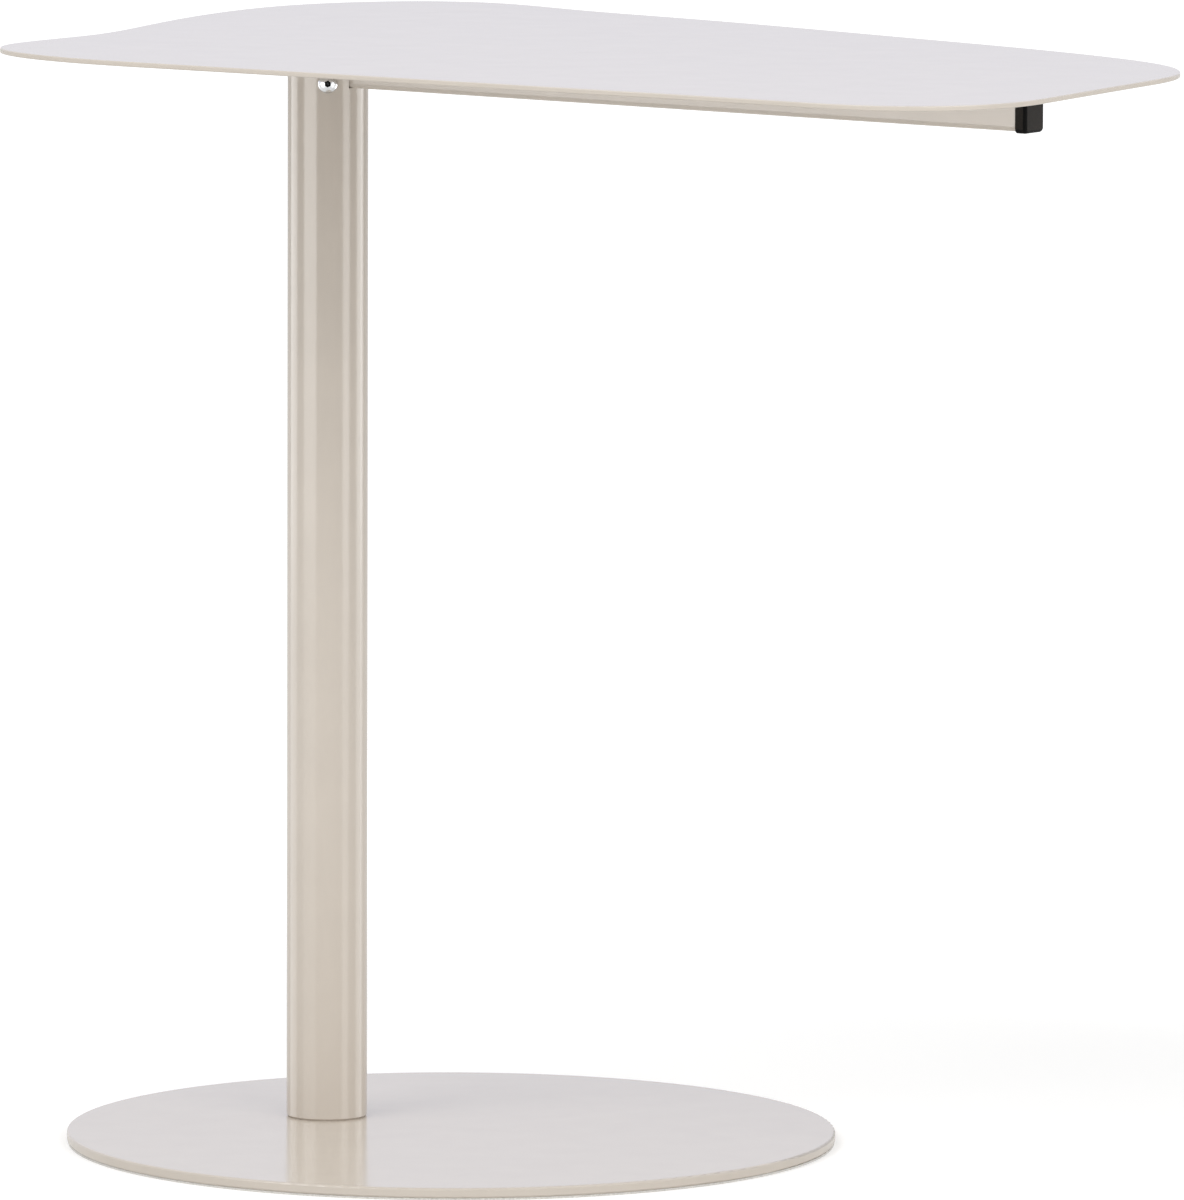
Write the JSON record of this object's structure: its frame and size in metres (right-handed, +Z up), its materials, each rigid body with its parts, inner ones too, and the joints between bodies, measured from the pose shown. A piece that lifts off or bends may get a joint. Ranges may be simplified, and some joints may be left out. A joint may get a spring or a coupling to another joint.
{
  "type": "corner table",
  "caption": "Corner side table: round steel base, tubular upright set off its centre, and a cantilevered arm under a thin steel top with a free, rounded outline.",
  "frame": {"origin": "centre of the round base on the floor", "axes": "+Z up; +X along the arm, from the upright towards the arm's free end; +Y across the top, away from its straight long side"},
  "size_m": [0.6084, 0.3964, 0.5475],
  "materials": {
    "powder_coat": "warm light greige satin powder coat on steel",
    "black_plastic": "black moulded polyethylene, fine matte grain",
    "bright_screw": "bright plated steel",
    "zinc_steel": "bright zinc-plated steel",
    "plain_steel": "turned plain steel",
    "weld_steel": "weld metal, dull",
    "felt": "dense light grey felt"
  },
  "bodies": {
    "root": {"base_pad": "felt", "base_plate": "powder_coat", "base_screws": "zinc_steel", "foot_plug": "plain_steel", "foot_weld": "weld_steel", "post_tube": "powder_coat", "head_plug": "plain_steel", "post_screw": "bright_screw", "support_arm": "powder_coat", "arm_weld": "weld_steel", "arm_end_cap": "black_plastic", "top_studs": "zinc_steel", "top_washers": "zinc_steel", "top_nuts": "zinc_steel", "tabletop": "powder_coat"}
  },
  "joints": []
}
